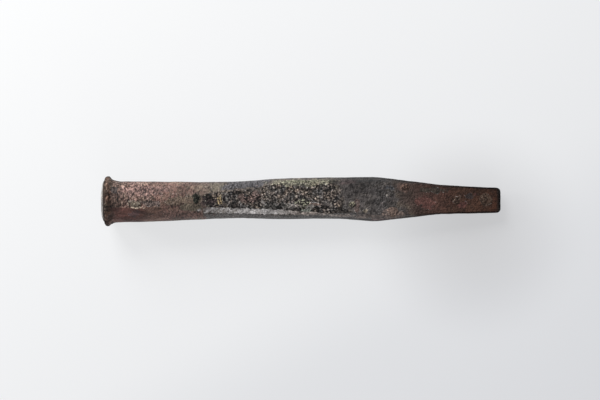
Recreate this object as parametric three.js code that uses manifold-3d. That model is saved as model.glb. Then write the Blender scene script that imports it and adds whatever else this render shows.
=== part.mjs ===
// An ancient copper-alloy chisel: one forged bar, and the mineral lumps that burial left in the pits of its surface.
// Millimetres. X runs from the striking face to the cutting edge, Y across the bar and Z up.
// The bar is drawn on its own axis first, and is then laid down on the lip of its head and its flat underside.

import * as THREE from "three";
import { mergeVertices } from "three/addons/utils/BufferGeometryUtils.js";
import Module from "manifold-3d";

const wasm = await Module();
wasm.setup();

// Striking head: a low beaten dome that is nearly flat in its middle, a groove round it, and the lip that the
// mallet has rolled outwards and set back from the dome
const faceDiameter = 15.2;
const faceCrown = 1.0;
const faceFlatShare = 0.8;
const grooveDepth = 0.9;
const grooveWidth = 0.7;
const lipSetback = 0.4;
const lipDiameter = 18.6;
const lipRoll = 1.0;
const lipThickness = 2.1;
const lipUnevenness = 0.35;
const flareLength = 4.1;
const flareHollow = 0.15;

// The roll of the lip stops this far above level, where the flare takes over
const rollEnd = THREE.MathUtils.degToRad(20);

// The dents of the lip: how many go round it, and what share of the unevenness they make
const dentShares = [
  { count: 3, share: 0.6 },
  { count: 8, share: 0.4 },
];

// Lengths of the stretches that follow the flare, one after the other, and the corners of the cutting edge
const gripLength = 41.3;
const spreadLength = 21.9;
const bodyLength = 13.2;
const swellLength = 18.8;
const rootLength = 24.6;
const bladeLength = 21.0;
const cornerRadius = 1.6;

// Widths of the bar in plan, where those stretches meet
const neckWidth = 15.15;
const gripWidth = 13.65;
const bodyWidth = 15.2;
const shoulderWidth = 16.65;
const waistWidth = 11.0;
const tipWidth = 9.5;

// Heights that the bar would have there if nothing were beaten flat
const neckHeight = 15.0;
const gripHeight = 13.7;
const bodyHeight = 15.0;
const shoulderHeight = 16.0;

// How far the hand-forged centre line strays towards +Y at those places
const neckSway = -0.3;
const gripSway = 0.4;
const bodySway = 0.95;
const swellSway = 1.2;
const shoulderSway = 0.8;
const waistSway = 0.57;
const tipSway = 0.3;

// Half thicknesses that the flats leave, measured from the axis
const gripHalf = 5.95;
const swellHalf = 6.0;
const shoulderHalf = 5.3;
const bevelHalf = 0.95;
const edgeHalf = 0.35;

// Where the flats run out on the round grip, how long their ramps are, and how the top flat leans towards +Y
const flatStartAt = 31.0;
const rampLength = 22.0;
const kneeLength = 10.0;
const bevelLength = 1.0;
const rampLean = THREE.MathUtils.degToRad(5);
const bodyLean = THREE.MathUtils.degToRad(9);
const shoulderLean = THREE.MathUtils.degToRad(3);

// The arris dressed off along the near side of the top flat: where it starts, how deep it bites and how it leans
const arrisStartAt = 33.0;
const arrisGripBite = 0.2;
const arrisBodyBite = 0.4;
const arrisLean = THREE.MathUtils.degToRad(-30);

// Mineral lumps: how far one stands out of the surface and goes into it, and the gap left round it in its pit
const lumpRise = 0.4;
const lumpBed = 0.4;
const pitGap = 0.3;

// Where the lumps lie. at is a share of the overall length from the striking face, across a share of half the
// bar's width there, with the far side positive; long and wide are shares of the body's width, and thick is a
// share of the rise and the bed.
const lumpShares = [
  { name: "shank_scab", colour: 0x8f8a72, at: 0.088, across: -0.13, long: 0.37, wide: 0.17, thick: 0.8 },
  { name: "dark_green_nodule", colour: 0x39402f, at: 0.237, across: 0.14, long: 0.23, wide: 0.3, thick: 0.9 },
  { name: "tan_nodule", colour: 0x96793f, at: 0.296, across: 0.0, long: 0.17, wide: 0.28, thick: 1.0 },
  { name: "cream_nodule", colour: 0xb5ad74, at: 0.503, across: -0.24, long: 0.4, wide: 0.25, thick: 1.0 },
  { name: "malachite_crust", colour: 0x7f8461, at: 0.492, across: 0.84, long: 0.95, wide: 0.16, thick: 0.8 },
  { name: "yellow_nodule", colour: 0x9b8a55, at: 0.624, across: -0.28, long: 0.23, wide: 0.18, thick: 0.9 },
  { name: "ochre_shoulder_crust", colour: 0x8a6a3d, at: 0.725, across: -0.62, long: 0.37, wide: 0.27, thick: 0.9 },
  { name: "ochre_root_nodule", colour: 0x8f6238, at: 0.756, across: 0.66, long: 0.32, wide: 0.2, thick: 0.9 },
  { name: "pale_blade_nodule", colour: 0xa59a84, at: 0.886, across: -0.08, long: 0.21, wide: 0.24, thick: 0.8 },
  { name: "tan_tip_crust", colour: 0x8d7048, at: 0.957, across: 0.08, long: 0.26, wide: 0.36, thick: 0.7 },
];

// How much of its size a lump loses in its hollows, how many lobes it has, and the share of a full turn by which
// the lobes of one lump are shifted from those of the next
const lumpHollowShare = 0.3;
const lumpLobes = 3;
const lumpShiftShare = 0.382;

// Fineness of the surfaces
const ringSides = 40;
const profileSteps = 5;
const cornerSteps = 5;
const twistSteps = 6;
const lumpDetail = 3;

// Anything larger than the bar, so that a cut runs past it
const overrun = 30;

// Places along the bar, worked out from the lengths
const lipFrontAt = faceCrown + lipSetback;
const lipMiddleAt = lipFrontAt + lipThickness / 2;
const neckAt = lipFrontAt + lipThickness + flareLength;
const gripEndAt = neckAt + gripLength;
const bodyAt = gripEndAt + spreadLength;
const swellAt = bodyAt + bodyLength;
const shoulderAt = swellAt + swellLength;
const waistAt = shoulderAt + rootLength;
const cornerAt = waistAt + bladeLength;
const overallLength = cornerAt + cornerRadius;
const bevelAt = overallLength - bevelLength;

// The plan outline and the full height of the bar at each of those places. The outline turns at a corner at the
// shoulder, narrows in a straight line from there, and turns again at the waist, where the blade begins.
const stations = [
  { at: neckAt, width: neckWidth, height: neckHeight, sway: neckSway },
  { at: gripEndAt, width: gripWidth, height: gripHeight, sway: gripSway },
  { at: bodyAt, width: bodyWidth, height: bodyHeight, sway: bodySway },
  { at: swellAt, width: bodyWidth, height: bodyHeight, sway: swellSway },
  { at: shoulderAt, width: shoulderWidth, height: shoulderHeight, sway: shoulderSway, corner: true },
  { at: waistAt, width: waistWidth, height: shoulderHeight, sway: waistSway, corner: true },
  { at: cornerAt, width: tipWidth, height: shoulderHeight, sway: tipSway },
];

// How many rings each stretch between two stations gets
const ringsPerStretch = [8, 7, 3, 5, 7, 5];

// How fast a width, height or sway changes over one stretch
function slopeOf(stretch, key) {
  const from = stations[stretch];
  const to = stations[stretch + 1];
  return (to[key] - from[key]) / (to.at - from.at);
}

// The slope at a station as one of its two stretches meets it, which never lets the curve swing past a station
function slopeAt(index, stretch, key) {
  if (stations[index].corner) return slopeOf(stretch, key);
  if (index === 0 || index === stations.length - 1) return 0;
  const before = slopeOf(index - 1, key);
  const after = slopeOf(index, key);
  return before * after <= 0 ? 0 : (2 * before * after) / (before + after);
}

// The bar's width, height and sway at any place past the neck, on smooth curves through the stations
function sectionAt(at) {
  const passed = stations.filter((station) => station.at < at).length;
  const stretch = THREE.MathUtils.clamp(passed - 1, 0, stations.length - 2);
  const from = stations[stretch];
  const to = stations[stretch + 1];
  const reach = to.at - from.at;
  const share = THREE.MathUtils.clamp((at - from.at) / reach, 0, 1);
  const valueOf = (key) => {
    const leave = slopeAt(stretch, stretch, key) * reach;
    const arrive = slopeAt(stretch + 1, stretch, key) * reach;
    const drop = from[key] - to[key];
    const cubic = 2 * drop + leave + arrive;
    const square = -3 * drop - 2 * leave - arrive;
    return ((cubic * share + square) * share + leave) * share + from[key];
  };
  return { width: valueOf("width"), height: valueOf("height"), sway: valueOf("sway") };
}

// One oval ring of the bar's skin, square to the axis. Unevenness dents it everywhere but at its lowest point.
function ring(at, halfWidth, halfHeight, sway, unevenness = 0) {
  const points = [];
  for (let side = 0; side < ringSides; side += 1) {
    const angle = (2 * Math.PI * side) / ringSides;
    const fromBottom = angle + Math.PI / 2;
    const wave = dentShares.reduce((sum, { count, share }) => sum + share * Math.cos(count * fromBottom), 0);
    const dent = (unevenness * (1 - wave)) / 2;
    const across = (halfWidth - dent) * Math.cos(angle);
    const up = (halfHeight - dent) * Math.sin(angle);
    points.push(new THREE.Vector3(at, sway + across, up));
  }
  return points;
}

// The head's half profile: x is the place along the bar and y the radius
function headProfile() {
  const face = faceDiameter / 2;
  const lip = lipDiameter / 2;
  const neck = neckWidth / 2;
  const profile = new THREE.Path();
  profile.moveTo(0, 0);
  profile.quadraticCurveTo(0, face * faceFlatShare, faceCrown, face);
  profile.lineTo(faceCrown + grooveDepth, face + grooveWidth / 2);
  profile.absellipse(lipMiddleAt, lip - lipRoll, lipThickness / 2, lipRoll, Math.PI, rollEnd, true);
  profile.quadraticCurveTo(lipMiddleAt + lipThickness, neck + flareHollow, neckAt, neck);
  return profile.getPoints(profileSteps);
}

// Rings of the head: round at the lip, and taking up the neck's oval and sway along the flare
function headRings() {
  return headProfile().slice(1, -1).map(({ x, y }) => {
    const flare = THREE.MathUtils.smoothstep(x, lipMiddleAt, neckAt);
    const edge = THREE.MathUtils.smoothstep(x, 0, lipMiddleAt) * (1 - flare);
    const halfHeight = THREE.MathUtils.lerp(y, (y * neckHeight) / neckWidth, flare);
    return ring(x, y, halfHeight, neckSway * flare, lipUnevenness * edge);
  });
}

// Rings from the neck to where the corners of the cutting edge begin
function barRings() {
  return ringsPerStretch.flatMap((count, stretch) =>
    Array.from({ length: count }, (_, step) => {
      const at = THREE.MathUtils.lerp(stations[stretch].at, stations[stretch + 1].at, step / count);
      const { width, height, sway } = sectionAt(at);
      return ring(at, width / 2, height / 2, sway);
    }),
  );
}

// Rings that round the corners of the cutting edge in plan, as a quarter circle
function cornerRings() {
  return Array.from({ length: cornerSteps + 1 }, (_, step) => {
    const angle = (Math.PI / 2) * (step / cornerSteps);
    const halfWidth = tipWidth / 2 - cornerRadius * (1 - Math.cos(angle));
    return ring(cornerAt + cornerRadius * Math.sin(angle), halfWidth, shoulderHeight / 2, tipSway);
  });
}

// The middle of a ring
function middleOf(points) {
  const sum = points.reduce((total, point) => total.add(point), new THREE.Vector3());
  return sum.divideScalar(points.length);
}

// Closes a row of rings into one skin. Each end is a fan round the ring's middle, or round a point of its own.
function loft(rings, start = middleOf(rings[0])) {
  const sides = rings[0].length;
  const end = middleOf(rings[rings.length - 1]);
  const positions = [start, ...rings.flat(), end].flatMap((point) => point.toArray());
  const vertex = (number, side) => 1 + number * sides + (side % sides);
  const endVertex = 1 + rings.length * sides;
  const index = [];
  for (let side = 0; side < sides; side += 1) {
    index.push(0, vertex(0, side + 1), vertex(0, side));
    for (let number = 0; number + 1 < rings.length; number += 1) {
      const [a, b] = [vertex(number, side), vertex(number, side + 1)];
      const [c, d] = [vertex(number + 1, side), vertex(number + 1, side + 1)];
      index.push(a, b, c, b, d, c);
    }
    index.push(endVertex, vertex(rings.length - 1, side), vertex(rings.length - 1, side + 1));
  }
  const geometry = new THREE.BufferGeometry();
  geometry.setAttribute("position", new THREE.Float32BufferAttribute(positions, 3));
  geometry.setIndex(index);
  return geometry;
}

// A closed geometry as a solid that can be cut, and a solid as a geometry again
function solidFrom(geometry) {
  const plain = geometry.clone();
  plain.deleteAttribute("normal");
  plain.deleteAttribute("uv");
  const merged = mergeVertices(plain);
  const vertProperties = merged.attributes.position.array;
  const triVerts = new Uint32Array(merged.index.array);
  return new wasm.Manifold(new wasm.Mesh({ numProp: 3, vertProperties, triVerts }));
}

function geometryFrom(solid) {
  const mesh = solid.getMesh();
  const geometry = new THREE.BufferGeometry();
  geometry.setAttribute("position", new THREE.BufferAttribute(mesh.vertProperties, 3));
  geometry.setIndex(new THREE.BufferAttribute(mesh.triVerts, 1));
  geometry.computeVertexNormals();
  return geometry;
}

// How far the unbeaten skin reaches from the axis, in the direction that a flat's lean faces
function skinReach(at, lean) {
  const { width, height } = sectionAt(at);
  return Math.hypot((width / 2) * Math.sin(lean), (height / 2) * Math.cos(lean));
}

// Puts more lines between two that lean differently, so that the flat twists gently from one to the other
function twisted(lines) {
  return lines.flatMap((line, number) => {
    const next = lines[number + 1];
    if (!next || next.lean === line.lean) return [line];
    return Array.from({ length: twistSteps }, (_, step) => {
      const between = (key) => THREE.MathUtils.lerp(line[key], next[key], step / twistSteps);
      return { at: between("at"), half: between("half"), lean: between("lean") };
    });
  });
}

// What one flat takes off the bar. It is a row of straight lines laid across the bar, each at a place along it,
// half a thickness from the axis and leaning round it, with 0 on top and a half turn underneath.
function flatCutter(lines) {
  const rings = twisted(lines).map(({ at, half, lean }) => {
    const outward = new THREE.Vector3(0, Math.sin(lean), Math.cos(lean));
    const sideways = new THREE.Vector3(0, Math.cos(lean), -Math.sin(lean));
    const middle = new THREE.Vector3(at, sectionAt(at).sway, 0).addScaledVector(outward, half);
    const left = middle.clone().addScaledVector(sideways, -lipDiameter / 2);
    const right = middle.clone().addScaledVector(sideways, lipDiameter / 2);
    const raised = (point) => point.clone().addScaledVector(outward, overrun);
    return [right, raised(right), raised(left), left];
  });
  return solidFrom(loft(rings));
}

// The lowest point of the lip, and how fast the table that the bar lies on nears the axis from there to the shoulder
const lipPoint = headProfile().reduce((widest, point) => (point.y > widest.y ? point : widest));
const tableSlope = (lipPoint.y - shoulderHalf) / (shoulderAt - lipPoint.x);

// The lines of a wedge side: a knee that softens the turn at the shoulder, the bevel and the cutting edge
function wedgeLines(lean) {
  const wedgeSlope = (shoulderHalf - bevelHalf) / (bevelAt - shoulderAt);
  const kneeHalf = shoulderHalf - (kneeLength * (wedgeSlope + tableSlope)) / 2;
  return [
    { at: shoulderAt + kneeLength, half: kneeHalf, lean },
    { at: bevelAt, half: bevelHalf, lean },
    { at: overallLength, half: edgeHalf, lean },
    { at: overallLength + overrun, half: edgeHalf, lean },
  ];
}

function topFlat() {
  return [
    { at: flatStartAt, half: skinReach(flatStartAt, rampLean), lean: rampLean },
    { at: flatStartAt + rampLength, half: gripHalf, lean: rampLean },
    { at: swellAt, half: swellHalf, lean: bodyLean },
    { at: shoulderAt, half: shoulderHalf, lean: shoulderLean },
    ...wedgeLines(0),
  ];
}

function underside() {
  const lean = Math.PI;
  return [
    { at: flatStartAt, half: skinReach(flatStartAt, lean), lean },
    { at: swellAt, half: shoulderHalf + tableSlope * swellLength, lean },
    { at: shoulderAt, half: shoulderHalf, lean },
    ...wedgeLines(lean),
  ];
}

function nearArris() {
  const line = (at, bite) => ({ at, half: skinReach(at, arrisLean) - bite, lean: arrisLean });
  return [
    line(arrisStartAt, 0),
    line(gripEndAt, arrisGripBite),
    line(swellAt, arrisBodyBite),
    line(shoulderAt, 0),
  ];
}

// The blank, beaten flat on top and underneath and drawn down to the cutting edge
function beatenBar() {
  const blank = solidFrom(loft([...headRings(), ...barRings(), ...cornerRings()], new THREE.Vector3()));
  return [topFlat(), underside(), nearArris()].reduce((bar, lines) => bar.subtract(flatCutter(lines)), blank);
}

// The point of the bar's upper surface that a plumb line meets, and how the surface faces there
function plumb(surface, at, across) {
  const { width, sway } = sectionAt(at);
  const above = new THREE.Vector3(at, sway + (across * width) / 2, overrun);
  const ray = new THREE.Raycaster(above, new THREE.Vector3(0, 0, -1));
  const [{ point, face }] = ray.intersectObject(surface);
  return { point, normal: face.normal.clone() };
}

// A lump lying on its seat or, with a gap added, the pit that it lies in. The gap holds in the lump's hollows too.
function lumpGeometry(lump, number, seat, gap = 0) {
  const growth = gap / (1 - lumpHollowShare);
  const halfLong = (lump.long * bodyWidth) / 2 + growth;
  const halfWide = (lump.wide * bodyWidth) / 2 + growth;
  const halfThick = (lump.thick * (lumpRise + lumpBed)) / 2 + growth;
  const geometry = new THREE.IcosahedronGeometry(1, lumpDetail);
  const positions = geometry.attributes.position;
  const point = new THREE.Vector3();
  for (let vertex = 0; vertex < positions.count; vertex += 1) {
    point.fromBufferAttribute(positions, vertex);
    const phase = point.clone().multiplyScalar(lumpLobes).addScalar(2 * Math.PI * lumpShiftShare * number);
    const wave = (Math.sin(phase.x) + Math.sin(phase.y) + Math.sin(phase.z)) / 3;
    point.multiplyScalar(1 - (lumpHollowShare * (1 - wave)) / 2);
    positions.setXYZ(vertex, point.x * halfLong, point.y * halfWide, point.z * halfThick);
  }
  const across = seat.normal.clone().cross(new THREE.Vector3(1, 0, 0)).normalize();
  const forward = across.clone().cross(seat.normal);
  const sunk = (lump.thick * (lumpRise - lumpBed)) / 2;
  const centre = seat.point.clone().addScaledVector(seat.normal, sunk);
  geometry.applyMatrix4(new THREE.Matrix4().makeBasis(forward, across, seat.normal).setPosition(centre));
  return geometry;
}

const bronze = new THREE.MeshStandardMaterial({ color: 0x5c483e, roughness: 0.6, metalness: 0.6 });

const beaten = beatenBar();
const surface = new THREE.Mesh(geometryFrom(beaten), bronze);
const seats = lumpShares.map((lump) => plumb(surface, lump.at * overallLength, lump.across));

// The bar with a pit under each lump
function forgedBar() {
  const pits = lumpShares.map((lump, number) => solidFrom(lumpGeometry(lump, number, seats[number], pitGap)));
  const mesh = new THREE.Mesh(geometryFrom(pits.reduce((bar, pit) => bar.subtract(pit), beaten)), bronze);
  mesh.name = "forged_bar";
  return mesh;
}

function mineralLump(lump, number) {
  const solid = solidFrom(lumpGeometry(lump, number, seats[number]));
  const mineral = new THREE.MeshStandardMaterial({ color: lump.colour, roughness: 0.9, metalness: 0 });
  const mesh = new THREE.Mesh(geometryFrom(solid), mineral);
  mesh.name = lump.name;
  return mesh;
}

// The bar lies nose down: its lip and its flat underside touch the table at z = 0, under the middle of its outline
const lying = new THREE.Group();
lying.add(forgedBar(), ...lumpShares.map(mineralLump));
lying.rotation.y = Math.atan(tableSlope);
lying.updateMatrixWorld(true);
const outline = new THREE.Box3().setFromObject(lying, true);
const middle = outline.getCenter(new THREE.Vector3());
lying.position.set(-middle.x, -middle.y, -outline.min.z);

const chisel = new THREE.Group();
chisel.add(lying);

export default chisel;
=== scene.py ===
# %% [markdown]
# # An ancient bronze chisel
#
# This lesson rebuilds a mason's chisel of forged copper alloy, as it lies on a museum's pale table after
# some thousands of years in the ground. It is one solid bar: a mushroomed striking head, a round grip, a
# body that was beaten flat, a shoulder, and a wedge blade with a narrow edge. Burial left minerals in the
# pits of its skin.
#
# The solid model, with its real sizes, comes first. Blender then gives the bar its worn skin and its
# patina.

# %% Load the solid model as a fixed frame
import math

import bpy
import numpy as np
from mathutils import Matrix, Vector, noise


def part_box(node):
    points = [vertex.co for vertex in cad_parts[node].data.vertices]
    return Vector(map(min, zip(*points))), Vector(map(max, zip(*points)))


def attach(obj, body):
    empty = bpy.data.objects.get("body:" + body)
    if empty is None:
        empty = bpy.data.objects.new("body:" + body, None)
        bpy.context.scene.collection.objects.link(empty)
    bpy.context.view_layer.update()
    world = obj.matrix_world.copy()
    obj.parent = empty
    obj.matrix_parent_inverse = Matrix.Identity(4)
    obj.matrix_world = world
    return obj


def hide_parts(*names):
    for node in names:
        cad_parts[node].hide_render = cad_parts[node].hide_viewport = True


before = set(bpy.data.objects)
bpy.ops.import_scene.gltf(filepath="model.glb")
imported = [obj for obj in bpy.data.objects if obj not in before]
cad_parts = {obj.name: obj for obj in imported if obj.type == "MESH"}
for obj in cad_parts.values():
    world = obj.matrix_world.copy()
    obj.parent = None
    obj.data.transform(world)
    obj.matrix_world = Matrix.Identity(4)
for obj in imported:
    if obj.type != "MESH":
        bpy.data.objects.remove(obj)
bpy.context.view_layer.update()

mm = 0.001
bar_low, bar_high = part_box("forged_bar")
print("the bar is", round((bar_high[0] - bar_low[0]) / mm, 1), "mm long")

# %% [markdown]
# ## The camera
#
# The photograph looks straight down, from far enough away that the bar shows almost no perspective. A long
# lens does the same. The picture is 600 pixels wide and the bar covers just over 398 of them, which gives
# the width of the view.

# %% The camera
photo_width_px = 600
bar_width_px = 398.3
view_width = (bar_high[0] - bar_low[0]) * photo_width_px / bar_width_px
lens_mm = 100
sensor_mm = 36
camera_height = view_width * lens_mm / sensor_mm
aim = Vector((-0.62 * mm, 0.47 * mm, 5 * mm))

bpy.ops.object.select_all(action="DESELECT")
bpy.ops.object.camera_add(location=aim + Vector((0, 0, camera_height)), rotation=(0, 0, 0))
camera = bpy.context.object
camera.data.lens = lens_mm
camera.data.sensor_width = sensor_mm
bpy.context.scene.camera = camera
print("the view is", round(view_width / mm), "mm wide from", round(camera_height / mm), "mm above the bar")

# %% [markdown]
# ## The bar's measurements
#
# A smith sees a chisel as a few places along its length, each with a width, a height and a little stray
# from the straight line. Between those places the metal runs in easy curves, apart from the shoulder and
# the waist, where the outline turns at a corner. All places are counted from the striking face. The bar is
# shaped on its own axis first, and is laid down once its skin is worn.

# %% Sizes of the striking head
face_radius = 7.6 * mm
face_crown = 1.0 * mm
face_flat_share = 0.8
groove_depth = 1.0 * mm
groove_width = 0.8 * mm
lip_setback = 0.4 * mm
lip_radius = 9.3 * mm
lip_roll = 1.0 * mm
lip_thickness = 2.1 * mm
flare_length = 4.1 * mm
flare_hollow = 0.15 * mm

lip_front_at = face_crown + lip_setback
lip_middle_at = lip_front_at + lip_thickness / 2
neck_at = lip_front_at + lip_thickness + flare_length
print("the head ends at the neck,", round(neck_at / mm, 1), "mm from the striking face")

# %% Places along the bar
grip_length = 41.3 * mm
spread_length = 21.9 * mm
body_length = 13.2 * mm
swell_length = 18.8 * mm
root_length = 24.6 * mm
blade_length = 21.0 * mm
corner_radius = 1.6 * mm
bevel_length = 1.0 * mm

grip_end_at = neck_at + grip_length
body_at = grip_end_at + spread_length
swell_at = body_at + body_length
shoulder_at = swell_at + swell_length
waist_at = shoulder_at + root_length
corner_at = waist_at + blade_length
bar_length = corner_at + corner_radius
bevel_at = bar_length - bevel_length

# %% Stations: a place, a width, a height before the flats are beaten, and a stray to the far side
stations = [
    (neck_at, 15.15 * mm, 15.0 * mm, -0.3 * mm),
    (grip_end_at, 13.65 * mm, 13.7 * mm, 0.4 * mm),
    (body_at, 15.35 * mm, 15.0 * mm, 0.88 * mm),
    (swell_at, 15.35 * mm, 15.0 * mm, 1.12 * mm),
    (shoulder_at, 16.65 * mm, 16.0 * mm, 0.72 * mm),
    (waist_at, 11.0 * mm, 16.0 * mm, 0.57 * mm),
    (corner_at, 9.5 * mm, 16.0 * mm, 0.3 * mm),
]
shoulder_number, waist_number = 4, 5
print("the bar measures", round(bar_length / mm, 1), "mm along its axis, with", len(stations), "stations")


# %% A smooth curve through the stations
def chord(stretch, key):
    """How fast a value changes over one stretch between two stations."""
    start, end = stations[stretch], stations[stretch + 1]
    return (end[key] - start[key]) / (end[0] - start[0])


def slope(number, stretch, key):
    """The slope at a station. Shoulder and waist are corners, and no curve swings past the others."""
    if number in (shoulder_number, waist_number):
        return chord(stretch, key)
    if number in (0, len(stations) - 1):
        return 0.0
    before, after = chord(number - 1, key), chord(number, key)
    return 0.0 if before * after <= 0 else 2 * before * after / (before + after)


def section(at):
    """The width, height and stray of the bar at any place past the neck."""
    stretch = min(max(sum(station[0] < at for station in stations) - 1, 0), len(stations) - 2)
    start, end = stations[stretch], stations[stretch + 1]
    length = end[0] - start[0]
    share = min(max((at - start[0]) / length, 0.0), 1.0)
    values = []
    for key in (1, 2, 3):
        leave = slope(stretch, stretch, key) * length
        arrive = slope(stretch + 1, stretch, key) * length
        drop = start[key] - end[key]
        cubic = 2 * drop + leave + arrive
        square = -3 * drop - 2 * leave - arrive
        values.append(((cubic * share + square) * share + leave) * share + start[key])
    return values


print("halfway the bar is", round(section(bar_length / 2)[0] / mm, 2), "mm wide")

# %% [markdown]
# ## Outlines of the bar
#
# The bar starts as a small disc on the striking face. It is extruded from outline to outline, and each time
# it is moved and scaled to the next one. The head's outlines follow a profile: a low dome, a narrow groove
# round it, the lip that the mallet has rolled outwards, and the flare into the grip.


# %% The head's profile
dome_steps = 12
lip_steps = 16
flare_steps = 10
lip_turn = math.radians(160)


def curve_points(start, control, end, count):
    """Points of a quadratic curve, without its first one."""
    shares = [(step + 1) / count for step in range(count)]
    return [(1 - s) ** 2 * start + 2 * s * (1 - s) * control + s * s * end for s in shares]


def head_profile():
    """Places along the bar and radii, from the middle of the face to the neck."""
    neck_radius = stations[0][1] / 2
    flat_edge = Vector((0, face_radius * face_flat_share))
    dome = curve_points(Vector((0, 0)), flat_edge, Vector((face_crown, face_radius)), dome_steps)
    groove = [Vector((face_crown + groove_depth, face_radius + groove_width / 2))]
    lip = []
    for step in range(lip_steps + 1):
        angle = math.pi - lip_turn * step / lip_steps
        across = lip_radius - lip_roll + lip_roll * math.sin(angle)
        lip.append(Vector((lip_middle_at + lip_thickness / 2 * math.cos(angle), across)))
    bend = Vector((lip_middle_at + lip_thickness, neck_radius + flare_hollow))
    flare = curve_points(lip[-1], bend, Vector((neck_at, neck_radius)), flare_steps)
    return dome + groove + lip + flare[:-1]


def smooth_step(value, low, high):
    """0 below low, 1 above high and an easy slope between, for numbers and for arrays."""
    share = np.clip((value - low) / (high - low), 0.0, 1.0)
    return share * share * (3 - 2 * share)


print("the head's profile has", len(head_profile()), "points")

# %% All outlines of the bar: a place, a stray, half a width and half a height
ring_gap = 1.5 * mm
corner_steps = 8
outlines = []
for at, radius in head_profile():
    flare = float(smooth_step(at, lip_middle_at, neck_at))
    tall = radius * (1 + flare * (stations[0][2] / stations[0][1] - 1))
    outlines.append((at, stations[0][3] * flare, radius, tall))

ring_count = round((corner_at - neck_at) / ring_gap)
for step in range(ring_count):
    at = neck_at + (corner_at - neck_at) * step / ring_count
    width, height, stray = section(at)
    outlines.append((at, stray, width / 2, height / 2))

tip_width, tip_height, tip_stray = section(corner_at)
for step in range(corner_steps + 1):
    angle = math.pi / 2 * step / corner_steps
    half_width = tip_width / 2 - corner_radius * (1 - math.cos(angle))
    outlines.append((corner_at + corner_radius * math.sin(angle), tip_stray, half_width, tip_height / 2))
print("the bar has", len(outlines), "outlines")


# %% [markdown]
# ## Extruding the blank
#
# This is how a solid bar is drawn out by hand in edit mode: extrude, move, scale, and again. The operators
# work on what is selected, so everything else is deselected first.

# %% Extrude the blank from outline to outline
skin_sides = 96


def start_fresh():
    """Leaves nothing selected, so that an operator touches only what comes next."""
    if bpy.context.object and bpy.context.object.mode != "OBJECT":
        bpy.ops.object.mode_set(mode="OBJECT")
    bpy.ops.object.select_all(action="DESELECT")


start_fresh()
at, stray, half_width, half_height = outlines[0]
bpy.ops.mesh.primitive_circle_add(
    vertices=skin_sides, radius=1.0, fill_type="NGON",
    location=(at, stray, 0), rotation=(0, math.pi / 2, 0),
)
bar = bpy.context.object
bar.name = "worn_bar"
bpy.ops.object.transform_apply(location=False, rotation=True, scale=True)
bpy.ops.object.mode_set(mode="EDIT")
bpy.ops.mesh.select_all(action="SELECT")
bpy.ops.transform.resize(value=(1, half_width, half_height), center_override=(at, stray, 0))
for (at, stray, wide, tall), (next_at, next_stray, next_wide, next_tall) in zip(outlines, outlines[1:]):
    step = (next_at - at, next_stray - stray, 0)
    bpy.ops.mesh.extrude_region_move(TRANSFORM_OT_translate={"value": step})
    growth = (1, next_wide / wide, next_tall / tall)
    bpy.ops.transform.resize(value=growth, center_override=(next_at, next_stray, 0))
bpy.ops.mesh.select_all(action="SELECT")
bpy.ops.mesh.normals_make_consistent(inside=False)
bpy.ops.object.mode_set(mode="OBJECT")
bpy.ops.object.transform_apply(location=True, rotation=True, scale=True)
print("the blank has", len(bar.data.polygons), "faces")

# %% [markdown]
# ## Beating it flat
#
# The smith beat one flat on top of the body and one underneath, ran both down to the edge as a wedge, and
# dressed off the near arris of the top flat. A flat is one straight line laid across the bar, moved along
# it. So the waste that each flat removes is a block, extruded from line to line like the bar itself, and a
# Boolean modifier takes it off. Its Manifold solver gives the same points in the same order each time,
# which the Exact solver doesn't.

# %% Half thicknesses that the flats leave, and the slope of the table under the bar
flat_start_at = 31.0 * mm
ramp_length = 22.0 * mm
ramp_end_at = flat_start_at + ramp_length
arris_start_at = 33.0 * mm
arris_grip_bite = 0.2 * mm
arris_body_bite = 0.4 * mm
knee_length = 10.0 * mm
grip_half = 5.95 * mm
swell_half = 6.0 * mm
shoulder_half = 5.3 * mm
bevel_half = 0.95 * mm
edge_half = 0.35 * mm
past_the_edge = 5.0 * mm
block_height = 14.0 * mm

table_slope = (lip_radius - shoulder_half) / (shoulder_at - lip_middle_at)
wedge_slope = (shoulder_half - bevel_half) / (bevel_at - shoulder_at)
knee_half = shoulder_half - knee_length * (wedge_slope + table_slope) / 2
print("the bar lies nose down by", round(math.degrees(math.atan(table_slope)), 2), "degrees")


# %% The lines of each flat: a place, a half thickness and how far it leans to the far side, in degrees
ramp_lean = 5
body_lean = 9
shoulder_lean = 3
arris_lean = -30
on_top_lean = 0
underneath_lean = 180


def reach(at, lean):
    """How far the blank's skin is from the axis, in the direction that a lean faces."""
    width, height, _ = section(at)
    angle = math.radians(lean)
    return math.hypot(width / 2 * math.sin(angle), height / 2 * math.cos(angle))


def wedge_lines(lean):
    """The knee that softens the turn at the shoulder, the bevel and the cutting edge."""
    return [
        (shoulder_at + knee_length, knee_half, lean),
        (bevel_at, bevel_half, lean),
        (bar_length, edge_half, lean),
        (bar_length + past_the_edge, edge_half, lean),
    ]


top_lines = [
    (flat_start_at, reach(flat_start_at, ramp_lean), ramp_lean),
    (ramp_end_at, grip_half, ramp_lean),
    (swell_at, swell_half, body_lean),
    (shoulder_at, shoulder_half, shoulder_lean),
] + wedge_lines(on_top_lean)
under_lines = [
    (flat_start_at, reach(flat_start_at, underneath_lean), underneath_lean),
    (swell_at, shoulder_half + table_slope * swell_length, underneath_lean),
    (shoulder_at, shoulder_half, underneath_lean),
] + wedge_lines(underneath_lean)
arris_lines = [
    (arris_start_at, reach(arris_start_at, arris_lean), arris_lean),
    (grip_end_at, reach(grip_end_at, arris_lean) - arris_grip_bite, arris_lean),
    (swell_at, reach(swell_at, arris_lean) - arris_body_bite, arris_lean),
    (shoulder_at, reach(shoulder_at, arris_lean), arris_lean),
]
print("the flats follow", len(top_lines), "lines on top,", len(under_lines), "underneath and",
      len(arris_lines), "along the arris")


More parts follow.
